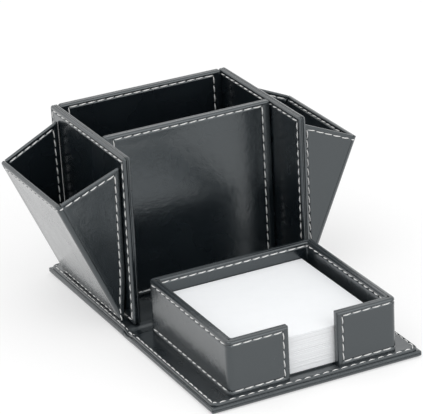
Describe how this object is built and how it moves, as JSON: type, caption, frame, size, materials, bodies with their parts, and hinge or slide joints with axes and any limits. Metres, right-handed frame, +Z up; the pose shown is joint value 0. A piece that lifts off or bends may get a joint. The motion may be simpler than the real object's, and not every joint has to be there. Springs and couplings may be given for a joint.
{
  "type": "desk organizer",
  "caption": "Leather-covered desk organizer: a pen box with side pockets that fold in, and a memo tray on a flap that folds up between the side walls.",
  "frame": {"origin": "on the surface the organizer stands on, under the centre of its outline with the flap laid open", "axes": "+Z up, +Y to the rear, from the memo tray to the pen box, +X to the right seen from the tray's side"},
  "size_m": [0.177, 0.1996, 0.0992],
  "materials": {
    "cover_leather": "smooth coated leather, satin, with white topstitching",
    "lining_leather": "smooth coated leather, satin",
    "greyboard": "matte pressed board",
    "memo_paper": "matte white writing paper",
    "plated_steel": "bright plated"
  },
  "bodies": {
    "rear_stand": {"rear_plate_cover": "cover_leather", "rear_plate_board": "greyboard", "rear_plate_lining": "lining_leather", "fold_hinge_strip": "cover_leather", "left_wall_outer_cover": "cover_leather", "left_wall_inner_cover": "lining_leather", "left_wall_board": "greyboard", "right_wall_outer_cover": "cover_leather", "right_wall_inner_cover": "lining_leather", "right_wall_board": "greyboard", "wall_keepers": "plated_steel", "front_panel_cover": "cover_leather", "front_panel_lining": "lining_leather", "front_panel_board": "greyboard", "rear_panel_cover": "cover_leather", "rear_panel_lining": "lining_leather", "rear_panel_board": "greyboard", "pen_box_floor": "lining_leather", "left_pocket_front_gusset": "cover_leather", "left_pocket_rear_gusset": "cover_leather", "right_pocket_front_gusset": "cover_leather", "right_pocket_rear_gusset": "cover_leather", "left_pocket_floor_strip": "cover_leather", "right_pocket_floor_strip": "cover_leather"},
    "flap": {"flap_cover": "cover_leather", "flap_board": "greyboard", "flap_lining": "lining_leather", "flap_magnets": "plated_steel", "tray_left_board": "greyboard", "tray_right_board": "greyboard", "tray_back_board": "greyboard", "tray_front_left_board": "greyboard", "tray_front_right_board": "greyboard", "tray_cover": "cover_leather", "tray_lining": "lining_leather", "tray_floor": "lining_leather"},
    "memo_block": {"memo_paper_block": "memo_paper"},
    "left_pocket": {"left_pocket_cover": "cover_leather", "left_pocket_lining": "lining_leather", "left_pocket_board": "greyboard"},
    "right_pocket": {"right_pocket_cover": "cover_leather", "right_pocket_lining": "lining_leather", "right_pocket_board": "greyboard"}
  },
  "joints": [
    {"name": "flap_fold", "type": "hinge", "parent": "rear_stand", "child": "flap", "pos_m": [0, -0.00125, 0.0008], "axis": [-1, 0, 0], "range_deg": [0, 90], "deforming": ["fold_hinge_strip"]},
    {"name": "memo_block_lift", "type": "slide", "parent": "flap", "child": "memo_block", "axis": [0, 0, 1], "range_m": [0, 0.01]},
    {"name": "left_pocket_fold", "type": "hinge", "parent": "rear_stand", "child": "left_pocket", "pos_m": [-0.0572, 0.04845, 0.0059], "axis": [0, 1, 0], "range_deg": [0, 22], "deforming": ["left_pocket_front_gusset", "left_pocket_rear_gusset"]},
    {"name": "right_pocket_fold", "type": "hinge", "parent": "rear_stand", "child": "right_pocket", "pos_m": [0.0572, 0.04845, 0.0059], "axis": [0, -1, 0], "range_deg": [0, 22], "deforming": ["right_pocket_front_gusset", "right_pocket_rear_gusset"]}
  ]
}
